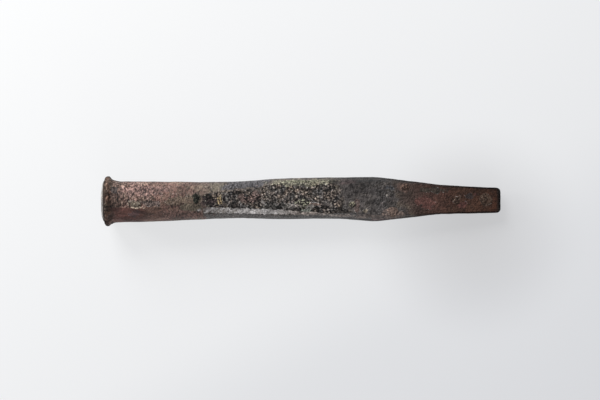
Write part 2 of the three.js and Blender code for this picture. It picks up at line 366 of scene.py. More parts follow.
# %% Extrude a block of waste along the lines of a flat
def finer(lines, count=6):
    """Puts more lines between two that lean differently, so that the flat twists gently."""
    result = []
    for line, following in zip(lines, lines[1:]):
        steps = count if following[2] != line[2] else 1
        for step in range(steps):
            result.append([start + (end - start) * step / steps for start, end in zip(line, following)])
    return result + [lines[-1]]


def waste_block(name, lines):
    """A block whose inner side is the flat."""
    places = []
    for at, half, lean in finer(lines):
        angle = math.radians(lean)
        out = half + block_height / 2
        places.append((at, section(at)[2] + out * math.sin(angle), out * math.cos(angle), angle))
    start_fresh()
    at, across, up, angle = places[0]
    bpy.ops.mesh.primitive_plane_add(size=1, location=(at, across, up), rotation=(0, math.pi / 2, 0))
    block = bpy.context.object
    block.name = name
    block.scale = (block_height, 2 * lip_radius, 1)
    bpy.ops.object.transform_apply(location=False, rotation=True, scale=True)
    block.rotation_euler = (-angle, 0, 0)
    bpy.ops.object.transform_apply(location=False, rotation=True, scale=True)
    bpy.ops.object.mode_set(mode="EDIT")
    bpy.ops.mesh.select_all(action="SELECT")
    for here, there in zip(places, places[1:]):
        step = Vector(there[:3]) - Vector(here[:3])
        bpy.ops.mesh.extrude_region_move(TRANSFORM_OT_translate={"value": step})
        turn = there[3] - here[3]
        if turn:
            bpy.ops.transform.rotate(value=turn, orient_axis="X", center_override=there[:3])
    bpy.ops.mesh.select_all(action="SELECT")
    bpy.ops.mesh.normals_make_consistent(inside=False)
    bpy.ops.object.mode_set(mode="OBJECT")
    bpy.ops.object.transform_apply(location=True, rotation=True, scale=True)
    return block


# %% Take the waste off
for name, lines in (("top_waste", top_lines), ("under_waste", under_lines), ("arris_waste", arris_lines)):
    waste = waste_block(name, lines)
    start_fresh()
    bpy.context.view_layer.objects.active = bar
    bar.select_set(True)
    bpy.ops.object.modifier_add(type="BOOLEAN")
    cut = bar.modifiers[-1]
    cut.operation = "DIFFERENCE"
    cut.solver = "MANIFOLD"
    cut.object = waste
    bpy.ops.object.modifier_apply(modifier=cut.name)
    bpy.data.objects.remove(waste, do_unlink=True)
    lowest = min(vertex.co.z for vertex in bar.data.vertices)
    highest = max(vertex.co.z for vertex in bar.data.vertices)
    print(name, "is off:", len(bar.data.polygons), "faces,", round((highest - lowest) / mm, 2), "mm high")

# %% [markdown]
# ## An even skin
#
# Cutting leaves long thin faces, and these can't carry fine relief. A voxel remesh turns the solid into
# small, even squares, less than a third of a millimetre wide. A little smoothing then takes the saw-cut
# sharpness off the arrises, as handling and corrosion have done on the real bar.


# %% Remesh and soften
skin_grain = 0.29 * mm


def apply_modifier(piece, kind, **settings):
    """Adds a modifier with its settings and applies it."""
    start_fresh()
    piece.select_set(True)
    bpy.context.view_layer.objects.active = piece
    bpy.ops.object.modifier_add(type=kind)
    modifier = piece.modifiers[-1]
    for key, value in settings.items():
        setattr(modifier, key, value)
    bpy.ops.object.modifier_apply(modifier=modifier.name)


apply_modifier(bar, "REMESH", mode="VOXEL", voxel_size=skin_grain, adaptivity=0.0, use_smooth_shade=True)
apply_modifier(bar, "SMOOTH", factor=0.5, iterations=3)
print("the even skin has", len(bar.data.vertices), "points")

# %% [markdown]
# ## Where each finish lies
#
# The bar has zones: a smooth brown grip, a gritty dark crust on the flats of the body, a bare worn arris, a
# matte red-brown blade, and small patches of burial minerals. Each zone is worked out once as a number from
# 0 to 1 at each point of the skin. The same number then shapes the relief and, stored as an attribute,
# chooses the colours, so that crust is rough where it is dark, as on the real bar.
#
# A zone is a product of simple shapes: a stretch along the bar and a strip across it, both in millimetres,
# and the directions that the skin faces, in degrees. The numbers come from the photograph.

# %% Read the skin's points and how they face
point_count = len(bar.data.vertices)


def read(key):
    """A coordinate triple of each point of the skin."""
    values = np.empty(point_count * 3)
    bar.data.vertices.foreach_get(key, values)
    return values.reshape(-1, 3)


points = read("co") / mm
facing = read("normal")
facing_up = facing[:, 2]
along = points[:, 0]
place_count = 151
places = np.linspace(0, bar_length / mm, place_count)
sections = np.array([section(max(place * mm, neck_at)) for place in places]) / mm
across = points[:, 1] - np.interp(along, places, sections[:, 2])
from_side = np.interp(along, places, sections[:, 0] / 2) - np.abs(across)
to_edge = np.minimum(from_side, bar_length / mm - along)
roll = np.degrees(np.arctan2(facing[:, 1], facing_up))
end_on = np.abs(facing[:, 0])
from_axis = np.hypot(points[:, 1], points[:, 2])
print("the skin spans", np.round(points.min(axis=0), 1), "to", np.round(points.max(axis=0), 1), "mm")

# %% Clouds that bend every border
cloud_shift = (17.3, 5.1, 9.7)
cloud_softness = 0.8
cloud_refining = 2.1
cloud_layers = 4


def clouds(size, seed):
    """Soft irregular values round 0, with lumps of about the given size in mm."""
    shift = Vector([seed * far for far in cloud_shift])
    spots = (Vector(point) / size + shift for point in points)
    return np.array([noise.fractal(spot, cloud_softness, cloud_refining, cloud_layers) for spot in spots])


broad = clouds(9.0, 1)
medium = clouds(3.2, 2)
small = clouds(1.3, 3)
ragged = 4.0 * broad + 2.0 * medium
print("borders along the bar stray by up to", round(float(np.abs(ragged).max()), 1), "mm")


# %% Helpers that make zones: along the bar and across it in mm, and round it in degrees
def band(value, low, high, soft):
    """1 between low and high, 0 outside, with soft borders."""
    return smooth_step(value, low - soft, low + soft) * (1 - smooth_step(value, high - soft, high + soft))


def between(start, end, soft, raggedness=1.0, slant=0.0):
    """1 between two places along the bar, with ragged ends that may slant."""
    return band(along + raggedness * ragged + slant * across, start, end, soft)


def strip(near, far, soft, bend=0.0):
    """1 on a strip between two distances from the middle line, counted to the far side."""
    return band(across + bend, near, far, soft)


def turned(near, far, soft):
    """1 where the skin faces between two directions, counted from straight up to the far side."""
    return band(roll, near, far, soft)


def percent(zone):
    """How much of the skin a zone covers, in percent."""
    return round(100 * float(zone.mean()), 1)


print(percent(turned(-45, 45, soft=5)), "percent of the skin faces up")

# %% The worn arris runs in a curve to the near edge, with a painted shine in the middle
arris_curve_start = 39
past_start = along - arris_curve_start
upper_border = -2.5 - 0.025 * past_start - 0.0010 * past_start ** 2
lower_border = -4.5 - 0.045 * past_start
worn = strip(lower_border, upper_border, soft=0.3, bend=0.3 * small) * turned(-66, -12, soft=6)
arris = worn * between(38, 94, soft=4)
shine = between(52, 72, soft=4)
print("the bare arris covers", percent(arris), "percent of the skin")

# %% The flanks beside the body, and painted shade where the skin faces the far side, from the body's swell to the tip
far_flank = turned(34, 72, soft=10) * between(64, 88, soft=4)
near_flank = turned(-88, -44, soft=6) * between(39, 104, soft=5)
blue_flank = strip(4.3, 7.6, soft=1, bend=0.9 * medium) * between(41, 57, soft=3, slant=-0.8)
blue_flank = blue_flank * smooth_step(facing_up, -0.2, 0.3)
far_side = np.maximum(turned(18, 135, soft=12), 0.5 * smooth_step(across, 0, 5) * (facing_up > 0))
# painted shade on the skin that faces the far side, from the body's swell on
far_edge = far_side * smooth_step(along + ragged, 82, 93)
print("the near flank covers", percent(near_flank), "percent of the skin")

# %% The crust on the flats, widest halfway along the body
crust_top = 14 + 46 * smooth_step(along + ragged, 56, 68) * (1 - smooth_step(along + ragged, 92, 104))
on_top = turned(-40, crust_top, soft=7) * (1 - worn)
underneath = smooth_step(np.abs(roll), 147, 163)
crust = between(38, 101, soft=3.5, slant=0.4) * np.maximum(on_top, 0.75 * underneath)
crust *= smooth_step(medium + 0.6 * small, -0.75, -0.35)
crust = crust * (1 - blue_flank)
smooth_crust = between(91, 111.5, soft=4, raggedness=0.6, slant=0.4)
print("the crust covers", percent(crust), "percent of the skin")

# %% The grip and the blade
red_grip = strip(-9, -2.2, soft=0.2, bend=0.15 * small) * between(4.6, 24, soft=2.5, raggedness=0.6)
red_grip = red_grip * (facing_up > -0.2)
knobbly = between(5, 21, soft=4) * (1 - red_grip)
blade = smooth_step(along + ragged + 0.6 * across, 109, 116)
print("the blade covers", percent(blade), "percent of the skin")

# %% The head: its lip, its face and the groove between them
lip = 1 - smooth_step(along, 3.9, 5.6)
face = smooth_step(end_on, 0.45, 0.7) * (1 - smooth_step(from_axis, 7.5, 7.75)) * (along < 2)
face_rim = face * smooth_step(from_axis, 5.0, 7.0)
groove = smooth_step(along, 0.9, 1.1) * smooth_step(from_axis, 7.4, 7.6)
groove = groove * (1 - smooth_step(along + 0.8 * small, 1.75, 2.15))
print("the striking face covers", percent(face), "percent of the skin")

# %% Rims painted darker by a share, as painted shade: round the lip, along the edges from the body's swell to the tip, at the grip's near edge by the head, on side walls and over the top of the grip
lip_side_shade = np.maximum(0.22 * smooth_step(across, 0, -6), 0.18 * smooth_step(across, 2, 6))
lip_shade = lip * np.maximum(0.7 * smooth_step(np.abs(facing[:, 1]), 0.7, 0.95), lip_side_shade)
edge_shade = 0.9 * smooth_step(along, 84, 106) * smooth_step(to_edge, 0.8, 0.3)
edge_shade = edge_shade * smooth_step(facing_up, 0, 0.5)
near_edge_shade = 0.25 * strip(-9, -5.4, soft=0.4) * band(along, 4.5, 16, soft=1.5)
side_wall_shade = 0.3 * band(facing_up, -0.15, 0.2, soft=0.1)
upper_grip_shade = 0.2 * strip(-2.2, 4.6, soft=1.2) * band(along, 4.5, 42, soft=2) * (facing_up > 0)
# all of these are painted shade, kept off the striking face
rim = np.maximum.reduce([lip_shade, edge_shade, near_edge_shade, side_wall_shade, upper_grip_shade]) * (1 - face)
print("rims are darker by up to", round(100 * float(rim.max())), "percent")

# %% All zones by name
zones = {
    "crust": crust,
    "smooth_crust": smooth_crust,
    "arris": arris,
    "shine": shine,
    "knobbly": knobbly,
    "far_flank": far_flank,
    "blue_flank": blue_flank,
    "near_flank": near_flank,
    "red_grip": red_grip,
    "far_edge": far_edge,
    "blade": blade,
    "lip": lip,
    "face": face,
    "face_rim": face_rim,
    "groove": groove,
    "rim": rim,
}
for name, zone in zones.items():
    print("zone", name, "covers", percent(zone), "percent")

# %% [markdown]
# ## Mineral patches
#
# Each patch is an oval on the upper skin, with its place along the bar, its place across it, two half sizes
# and how far it stands up, all in millimetres, and then its colour. Noise bends its border, so that no
# patch looks stamped.

# %% The patches: place along and across, half length, half width, rise, colour
patches = {
    "lip_fleck": (5.2, 4.1, 1.5, 1.2, 0.0, (0.035, 0.032, 0.032)),
    "pink_grip_stain": (16.5, 3.6, 9.0, 2.6, 0.0, (0.168, 0.103, 0.090)),
    "shank_scab": (12.4, -0.7, 2.6, 1.3, 0.12, (0.13, 0.12, 0.095)),
    # the pale line under the scab is a raised rim with a painted highlight along it
    "scab_rim_highlight": (13.6, -2.35, 3.0, 0.66, 0.3, (0.60, 0.49, 0.38)),
    "purple_grip_stain": (13.0, -4.5, 2.6, 1.3, 0.0, (0.105, 0.062, 0.062)),
    "grey_grip_stain": (18.6, -0.8, 3.2, 1.2, 0.0, (0.083, 0.065, 0.059)),
    "green_grip_stain": (30.0, 0.2, 6.0, 1.8, 0.0, (0.150, 0.110, 0.080)),
    "warm_grip_side": (30.0, -5.0, 10.0, 1.9, 0.0, (0.148, 0.086, 0.072)),
    "green_grip_end": (33.0, -1.5, 4.0, 3.4, 0.0, (0.128, 0.108, 0.078)),
    "dark_green_nodule": (35.7, 1.0, 1.7, 2.4, 0.08, (0.016, 0.017, 0.013)),
    "dark_grip_stain": (39.8, 0.0, 3.2, 2.2, 0.0, (0.042, 0.028, 0.028)),
    "olive_grip_crumbs": (42.7, 5.0, 3.0, 1.8, 0.1, (0.115, 0.102, 0.076)),
    "tan_nodule": (44.4, 0.8, 0.8, 1.8, 0.2, (0.32, 0.26, 0.16)),
    "red_streak": (56.3, 0.9, 4.2, 2.0, 0.0, (0.098, 0.064, 0.056)),
    "pale_crust_foot": (68.0, -1.9, 11.0, 1.0, 0.0, (0.135, 0.125, 0.115)),
    "malachite_crust": (75.0, 6.8, 11.5, 1.5, 0.12, (0.15, 0.142, 0.10)),
    "cream_nodule": (74.2, -1.2, 2.4, 1.6, 0.12, (0.20, 0.195, 0.14)),
    "grey_green_trail": (76.5, -3.6, 2.6, 0.5, 0.0, (0.21, 0.22, 0.19)),
    "rusty_trail": (79.3, -1.2, 3.4, 0.5, 0.1, (0.13, 0.084, 0.067)),
    "cream_dot": (87.7, 5.4, 0.65, 0.6, 0.1, (0.4, 0.36, 0.28)),
    "plum_far_edge": (92.0, 7.2, 3.8, 1.2, 0.0, (0.065, 0.048, 0.047)),
    "pink_shoulder_line": (90.8, -5.4, 3.6, 0.6, 0.0, (0.30, 0.25, 0.225)),
    "yellow_nodule": (93.2, -1.1, 1.3, 1.1, 0.1, (0.17, 0.155, 0.115)),
    "rusty_shoulder_streak": (95.4, -2.2, 1.2, 3.2, 0.06, (0.088, 0.058, 0.049)),
    "ochre_speck": (98.3, -3.8, 1.0, 0.8, 0.1, (0.16, 0.13, 0.095)),
    "dark_far_edge": (98.5, 6.9, 5.0, 1.4, 0.0, (0.036, 0.032, 0.031)),
    "tan_shoulder_trail": (101.0, -5.7, 6.5, 0.9, 0.0, (0.16, 0.125, 0.11)),
    "pink_shoulder_edge": (104.0, -6.9, 4.5, 0.9, 0.0, (0.145, 0.10, 0.095)),
    "cream_dot_two": (106.7, 2.2, 0.38, 0.3, 0.1, (0.4, 0.34, 0.29)),
    "grey_fleck": (107.8, 5.1, 1.7, 1.2, 0.0, (0.050, 0.052, 0.059)),
    "ochre_shoulder_crust": (108.6, -5.3, 4.6, 2.6, 0.08, (0.19, 0.135, 0.112)),
    "ochre_root_nodule": (113.3, 5.2, 2.7, 2.0, 0.08, (0.125, 0.077, 0.062)),
    "red_stain": (121.3, 0.0, 3.3, 2.5, 0.0, (0.115, 0.050, 0.042)),
    "green_grey_stain": (123.9, 4.1, 5.4, 1.5, 0.0, (0.052, 0.043, 0.034)),
    "pale_blade_nodule": (133.2, 0.4, 1.5, 1.7, 0.08, (0.095, 0.062, 0.047)),
    "red_blade_stain": (135.4, -1.4, 2.1, 1.5, 0.0, (0.080, 0.033, 0.028)),
    "dark_square": (137.9, 2.0, 1.5, 1.5, 0.0, (0.033, 0.026, 0.026)),
    "red_fleck": (140.4, 2.5, 0.8, 1.0, 0.0, (0.085, 0.034, 0.032)),
    "tan_tip_crust": (144.6, 0.9, 2.0, 3.0, 0.08, (0.075, 0.052, 0.038)),
}


def patch_zone(at, sideways, half_long, half_wide, inner=0.72, outer=1.12):
    """1 inside an oval on the upper skin, with a ragged border between an inner and an outer oval."""
    away = np.hypot((along - at) / half_long, (points[:, 1] - sideways) / half_wide)
    upper = smooth_step(facing_up, 0.0, 0.3)
    return upper * (1 - smooth_step(away + 0.55 * medium + 0.35 * small, inner, outer))


patch_mask = np.zeros(point_count)
patch_rise = np.zeros(point_count)
patch_colour = np.ones((point_count, 4))
for name, (at, sideways, half_long, half_wide, rise, colour) in patches.items():
    zone = patch_zone(at, sideways, half_long, half_wide)
    stronger = zone > patch_mask
    patch_colour[stronger, :3] = colour
    patch_mask = np.maximum(patch_mask, zone)
    patch_rise = np.maximum(patch_rise, zone * rise)
crumbly = smooth_step(patch_rise, 0.0, 0.08)
print(len(patches), "patches cover", percent(patch_mask), "percent of the skin")

# %% [markdown]
# ## Relief
#
# A Displace modifier pushes the skin in and out by a texture, and a vertex group says where. Each kind of
# wear gets one of its own: broad hammer marks, the grain of the metal, a built-up gritty crust with pits,
# corroded flanks, the dents of the lip, and the raised mineral patches.


# %% One layer of relief
weight_levels = 40


def texture(name, size, layers):
    """A cloudy texture that Displace can read, with its grain size in mm and its number of finer layers."""
    result = bpy.data.textures.new(name, "CLOUDS")
    result.noise_basis = "IMPROVED_PERLIN"
    result.noise_scale = size * mm
    result.noise_depth = layers
    return result


def relief(name, depth, zone, size, layers, middle=0.5):
    """Moves the skin by a depth in mm where the zone is, in or out on either side of a middle tone."""
    group = bar.vertex_groups.new(name=name)
    levels = np.round(zone * weight_levels).astype(int)
    for level in range(1, weight_levels + 1):
        chosen = np.nonzero(levels == level)[0].tolist()
        if chosen:
            group.add(chosen, level / weight_levels, "REPLACE")
    pattern = texture(name, size, layers)
    apply_modifier(
        bar, "DISPLACE", strength=depth * mm, mid_level=middle,
        vertex_group=name, texture=pattern, texture_coords="LOCAL",
    )
    bar.vertex_groups.remove(bar.vertex_groups[name])


# %% Hammer marks and the grain of the metal, faint underneath, where the bar rests
off_the_rest = 1 - 0.8 * underneath
relief("hammer_marks", depth=0.40, zone=off_the_rest, size=8.0, layers=1, middle=0.38)
relief("metal_grain", depth=0.12, zone=off_the_rest, size=1.6, layers=2)
relief("grip_knobs", depth=0.16, zone=knobbly, size=1.1, layers=1)
print("hammer marks and grain are in")

# %% The crust, its grit and its pits
gritty = crust * (1 - 0.6 * smooth_crust)
relief("crust_grit", depth=0.42, zone=gritty, size=1.1, layers=1, middle=0.25)
relief("crust_pits", depth=0.30, zone=gritty, size=2.3, layers=1)
corroded = np.clip(near_flank + far_flank + 0.6 * blade, 0, 1)
relief("flank_grain", depth=0.22, zone=corroded, size=1.5, layers=2)
print("the crust is in")

# %% The lip's dents, the beaten face and the mineral patches
beaten = lip * (1 - face) * (1 - groove)
relief("lip_dents", depth=0.7, zone=beaten, size=3.4, layers=1, middle=0.55)
relief("lip_pits", depth=0.5, zone=beaten, size=1.3, layers=1, middle=0.55)
relief("face_blows", depth=0.25, zone=face, size=2.6, layers=1, middle=0.7)
relief("patches", depth=1.2, zone=patch_rise, size=1.2, layers=2, middle=0.0)
print("the patches stand proud")

# %% How far each point now stands above or below the smooth bar
proud = np.einsum("ij,ij->i", read("co") / mm - points, facing)
print("relief runs from", round(proud.min(), 2), "to", round(proud.max(), 2), "mm")


# %% Store the zones on the skin for its material
def store(name, values):
    """Keeps one number for each point of the skin, under a name."""
    attribute = bar.data.attributes.new(name, "FLOAT", "POINT")
    attribute.data.foreach_set("value", np.asarray(values, dtype=np.float32))


for name, zone in zones.items():
    store(name, zone)
store("proud", proud)
store("place", along * mm / bar_length)
store("patch_mask", patch_mask)
store("crumbly", crumbly)
colours = bar.data.attributes.new("patch_colour", "FLOAT_COLOR", "POINT")
colours.data.foreach_set("color", patch_colour.astype(np.float32).ravel())
print(len(bar.data.attributes), "attributes on the bar")

# %% [markdown]
# ## Lay the bar down
#
# The bar has been shaped on its own axis. On a table it lies nose down, on the lip of its head and on its
# flat underside. So the mesh is turned and moved there, and the object itself stays at the origin,
# unturned.


# %% Lay the bar down
def spread(piece):
    """The lowest and highest corner of a mesh."""
    corners = np.array([vertex.co for vertex in piece.data.vertices])
    return corners.min(axis=0), corners.max(axis=0)


start_fresh()
bar.select_set(True)
bpy.context.view_layer.objects.active = bar
bar.rotation_euler = (0, math.atan(table_slope), 0)
bpy.ops.object.transform_apply(location=False, rotation=True, scale=False)
low, high = spread(bar)
centre_shift = (np.array(bar_low) + np.array(bar_high) - low - high) / 2
bar.location = (centre_shift[0], centre_shift[1], bar_low[2] - low[2])
bpy.ops.object.transform_apply(location=True, rotation=False, scale=False)
low, high = spread(bar)
print("laid down it spans", np.round(low / mm, 2), np.round(high / mm, 2), "mm")

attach(bar, "root")
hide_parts("forged_bar")

# %% [markdown]
# ## Minerals that grew on the bar
#
# Where water stood in a pit, a lump of mineral grew. Each lump is its own piece, because a conservator can
# lift it off. It starts as a ball, is pressed flat on the skin, and crumbles where two layers of noise push
# it in and out. The bar's skin then cuts its rim into a ragged outline.

# %% One lump
lump_half_thickness = 0.62 * mm
lump_sink = 0.27 * mm
crumb_layers = ((0.5, 1.5), (0.22, 0.6))  # a depth and a grain size each, in mm


def skin_under(x, y):
    """The place and direction of the bar's skin, straight below a point."""
    above = Vector((x, y, 2 * bar_high[2]))
    return bar.ray_cast(above, Vector((0, 0, -1)))[1:3]


def seat(low, high):
    """The mean place and direction of the skin under a lump, so that a long one follows it at both ends."""
    shares = (0.1, 0.3, 0.5, 0.7, 0.9)
    seats = [
        skin_under(low[0] + (high[0] - low[0]) * far, low[1] + (high[1] - low[1]) * side)
        for far in shares for side in shares
    ]
    place = sum((spot for spot, _ in seats), Vector()) / len(seats)
    return place, sum((normal for _, normal in seats), Vector()).normalized()


def mineral_lump(node):
    """A crumbly lump of mineral, seated in the skin where the solid model has it."""
    low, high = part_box(node)
    place, normal = seat(low, high)
    start_fresh()
    bpy.ops.mesh.primitive_ico_sphere_add(subdivisions=5, radius=1)
    lump = bpy.context.object
    lump.name = node + "_grown"
    lump.scale = ((high[0] - low[0]) / 2, (high[1] - low[1]) / 2, lump_half_thickness)
    bpy.ops.object.transform_apply(location=False, rotation=False, scale=True)
    lump.rotation_euler = Vector((0, 0, 1)).rotation_difference(normal).to_euler()
    lump.location = place - normal * lump_sink
    bpy.ops.object.transform_apply(location=True, rotation=True, scale=False)
    for depth, size in crumb_layers:
        pattern = texture(node + "_crumbs", size, layers=1)
        apply_modifier(
            lump, "DISPLACE", strength=depth * mm, mid_level=0.5,
            texture=pattern, texture_coords="LOCAL",
        )
    start_fresh()
    lump.select_set(True)
    bpy.ops.object.shade_smooth()
    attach(lump, "root")
    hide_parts(node)
    return lump


# %% All ten lumps: the colour of the hollows, that of the grains, and the share that the grains cover
lump_colours = {
    "shank_scab": ((0.095, 0.072, 0.055), (0.165, 0.140, 0.110), 0.5),
    "dark_green_nodule": ((0.008, 0.009, 0.007), (0.06, 0.06, 0.045), 0.35),
    "tan_nodule": ((0.045, 0.032, 0.024), (0.38, 0.29, 0.17), 0.42),
    "cream_nodule": ((0.024, 0.022, 0.019), (0.36, 0.35, 0.26), 0.28),
    "malachite_crust": ((0.040, 0.039, 0.031), (0.21, 0.205, 0.15), 0.55),
    "yellow_nodule": ((0.030, 0.027, 0.023), (0.22, 0.20, 0.145), 0.35),
    "ochre_shoulder_crust": ((0.070, 0.050, 0.043), (0.19, 0.135, 0.11), 0.55),
    "ochre_root_nodule": ((0.040, 0.025, 0.020), (0.15, 0.095, 0.073), 0.4),
    "pale_blade_nodule": ((0.034, 0.020, 0.015), (0.22, 0.16, 0.12), 0.15),
    "tan_tip_crust": ((0.034, 0.019, 0.013), (0.105, 0.073, 0.054), 0.38),
}
lumps = {node: mineral_lump(node) for node in lump_colours}
longest = max(piece.dimensions.x for piece in lumps.values())
print(len(lumps), "lumps, the longest", round(longest / mm, 1), "mm long")

# %% [markdown]
# ## Maths for the materials
#
# A material is a small calculation at each point of a surface. To keep it readable, one small class wraps a
# socket, so that plain Python expressions on it add the Math nodes. All other nodes come from one method.


# %% A shader that reads like arithmetic
class Value:
    """A socket of a shader, with arithmetic for numbers."""

    def __init__(self, shader, socket):
        self.shader = shader
        self.socket = socket

    def maths(self, operation, left, right):
        return self.shader.node("Math", {"operation": operation}, {0: left, 1: right})

    def __add__(self, other):
        return self.maths("ADD", self, other)

    def __radd__(self, other):
        return self.maths("ADD", other, self)

    def __sub__(self, other):
        return self.maths("SUBTRACT", self, other)

    def __rsub__(self, other):
        return self.maths("SUBTRACT", other, self)

    def __mul__(self, other):
        return self.maths("MULTIPLY", self, other)

    def __rmul__(self, other):
        return self.maths("MULTIPLY", other, self)


class Shader:
    """A material that is built node by node."""

    def __init__(self, name):
        self.material = bpy.data.materials.new(name)
        self.material.use_nodes = True
        self.tree = self.material.node_tree
        self.tree.nodes.clear()
        self.spot = self.node("TexCoord", output="Object")

    def node(self, kind, settings=None, inputs=None, output=0):
        """Adds a node, sets it, fills its sockets, and returns one of its outputs."""
        made = self.tree.nodes.new("ShaderNode" + kind)
        for key, value in (settings or {}).items():
            if key == "stops":
                set_stops(made.color_ramp, value)
            else:
                setattr(made, key, value)
        for key, value in (inputs or {}).items():
            if isinstance(value, Value):
                self.tree.links.new(value.socket, made.inputs[key])
            elif isinstance(value, tuple) and len(made.inputs[key].default_value) == 4:
                made.inputs[key].default_value = (*value, 1)
            else:
                made.inputs[key].default_value = value
        return Value(self, made.outputs[output]) if made.outputs else None

    def mix(self, share, under, over):
        """One colour over another, by a share from 0 to 1."""
        settings = {"data_type": "RGBA", "clamp_factor": True}
        return self.node("Mix", settings, {0: share, 6: under, 7: over}, output=2)

    def shade(self, colour, amount):
        """A colour made lighter or darker."""
        return self.node("VectorMath", {"operation": "SCALE"}, {0: colour, "Scale": amount})

    def step(self, value, low, high):
        """0 below low, 1 above high, and an easy slope between."""
        limits = {"Value": value, "From Min": low, "From Max": high}
        return self.node("MapRange", {"interpolation_type": "SMOOTHSTEP"}, limits)

    def zone(self, name):
        """A number that was stored on the skin."""
        return self.node("Attribute", {"attribute_name": name}, output="Fac")

    def grain(self, size, detail=3.0, stretch=(1, 1, 1)):
        """Noise with lumps of a size in mm, stretched to run evenly from 0 to 1."""
        spot = self.node("Mapping", None, {"Vector": self.spot, "Scale": stretch})
        raw = self.node("TexNoise", None, {"Vector": spot, "Scale": 1 / (size * mm), "Detail": detail})
        return self.step(raw, 0.3, 0.7)

    def cells(self, size, bend_size=1.5):
        """Dark cells of a size in mm, with paler borders, bent by coarser noise, as on an orange's peel."""
        coarse = {"Vector": self.spot, "Scale": 1 / (bend_size * mm)}
        warp = self.node("TexNoise", None, coarse, output="Color")
        bent = self.node("VectorMath", {"operation": "SCALE"}, {0: warp, "Scale": 0.6 * size * mm})
        spot = self.node("VectorMath", {"operation": "ADD"}, {0: self.spot, 1: bent})
        inputs = {"Vector": spot, "Scale": 1 / (size * mm)}
        away = self.node("TexVoronoi", {"feature": "SMOOTH_F1"}, inputs, output="Distance")
        return self.step(away, 0.2, 0.6)

    def specks(self, spacing, radius, share):
        """Small round specks in mm, on a share of the cells of a loose grid."""
        cells = {"Vector": self.spot, "Scale": 1 / (spacing * mm)}
        away = self.node("TexVoronoi", None, cells, output="Distance")
        lot = self.node("SeparateXYZ", None, {0: self.node("TexVoronoi", None, cells, output="Color")})
        dot = self.step(away, radius / spacing, 0.5 * radius / spacing)
        return dot * self.step(lot, share, share - 0.05)

    def surface(self, bump, bump_height, **inputs):
        """Ends the shader with one surface, a bump under it, and returns the material."""
        raised = self.node("Bump", None, {"Height": bump, "Distance": bump_height * mm})
        look = self.node("BsdfPrincipled", None, {"Normal": raised, **inputs})
        self.node("OutputMaterial", None, {"Surface": look})
        return self.material


def set_stops(ramp, stops):
    """Gives a colour ramp its stops, each a place from 0 to 1 and a colour."""
    while len(ramp.elements) < len(stops):
        ramp.elements.new(0.5)
    for element, (place, colour) in zip(ramp.elements, stops):
        element.position = place
        element.color = (*colour, 1)


print("a shader offers", ", ".join(name for name in vars(Shader) if not name.startswith("_")))

# %% [markdown]
# ## The patina
#
# Bronze from the ground is many thin layers. Here each one goes over the last, by a zone: the brown ground
# along the bar, grey flanks, bare metal on the worn arris with a painted glint, crust, and the mineral
# patches. Each layer is a colour and a tone, which is the pattern of light and dark that its texture makes.
# Because the two are kept apart, a stain can change the colour and leave the texture. Pits end darker and
# high spots lighter, as painted shade and painted highlight that follow the relief, which is what makes
# corroded metal look rough.

# %% The ground colour along the bar, by places in mm
patina = Shader("bronze_patina")
ground_stops = [
    (0, (0.125, 0.070, 0.048)),
    (3.4, (0.110, 0.060, 0.041)),
    # painted lighter here, against the shade that falls behind the lip
    (4.4, (0.135, 0.083, 0.066)),
    (6.5, (0.12, 0.075, 0.060)),
    (9, (0.130, 0.071, 0.057)),
    (18, (0.150, 0.076, 0.062)),
    (24, (0.135, 0.074, 0.060)),
    (34, (0.115, 0.070, 0.056)),
    (42, (0.085, 0.066, 0.056)),
    (60, (0.070, 0.058, 0.052)),
    (90, (0.052, 0.044, 0.040)),
    (104, (0.042, 0.036, 0.034)),
    (112, (0.060, 0.044, 0.038)),
    (118, (0.056, 0.033, 0.027)),
    (125, (0.062, 0.029, 0.022)),
    (132, (0.042, 0.019, 0.0125)),
    (142, (0.046, 0.020, 0.0118)),
    (148.3, (0.038, 0.013, 0.0065)),
    # the last two stops are painted shade on the cutting edge, which turns away from the light
    (148.8, (0.012, 0.005, 0.0035)),
    (150, (0.005, 0.003, 0.002)),
]
stops = [(place * mm / bar_length, colour) for place, colour in ground_stops]
colour = patina.node("ValToRGB", {"stops": stops}, {"Fac": patina.zone("place")}, output="Color")
print(len(stops), "stops of ground colour")

# %% Its mottles, streaks and pits, and the knobs of the grip
olive_mottle = (0.15, 0.125, 0.09)
pale_knob = (0.145, 0.10, 0.085)

mottle = patina.grain(3.0, detail=5.0)
colour = patina.mix(mottle * mottle * (0.5 - 0.45 * patina.zone("blade")), colour, olive_mottle)
streaks = patina.grain(0.62, detail=2.0, stretch=(1, 0.55, 0.55))
pits = patina.specks(spacing=1.2, radius=0.36, share=0.35)
tone = (0.15 + 1.2 * streaks + 0.5 * patina.grain(5.0)) * (1 - 0.6 * pits)
knobs = 1.7 * patina.grain(0.6, detail=2.0, stretch=(1, 0.6, 0.6)) - 0.85
tone = tone + tone * knobs * patina.zone("knobbly")
paler = patina.step(tone, 0.9, 1.8) * patina.zone("knobbly") * 0.5
colour = patina.mix(paler, colour, pale_knob)
print("the ground has", len(patina.tree.nodes), "nodes")

# %% How one layer goes over another
fine = patina.grain(0.6, detail=2.0)
rough_edge = 0.6 * (patina.grain(1.9, detail=5.0) - 0.5)


def past(start, end):
    """0 before one place along the bar and 1 past another, both in mm."""
    return patina.step(patina.zone("place"), start * mm / bar_length, end * mm / bar_length)


def rough_zone(name):
    """A stored zone with its border broken up."""
    return patina.step(patina.zone(name) + rough_edge, 0.3, 0.7)


def lay_over(share, new_colour, new_tone):
    """Both halves of a layer, laid over what is there by a share from 0 to 1."""
    return patina.mix(share, colour, new_colour), tone + share * (new_tone - tone)


def tell(layer):
    """Prints how large the patina has grown."""
    print("with", layer, "the patina has", len(patina.tree.nodes), "nodes")


tell("rough borders")

# %% The blade, the red of the grip and the flanks
worn_red = (0.135, 0.057, 0.047)
worn_brown = (0.142, 0.082, 0.062)
grey_near_side = (0.145, 0.135, 0.13)
blue_far_side = (0.060, 0.058, 0.063)

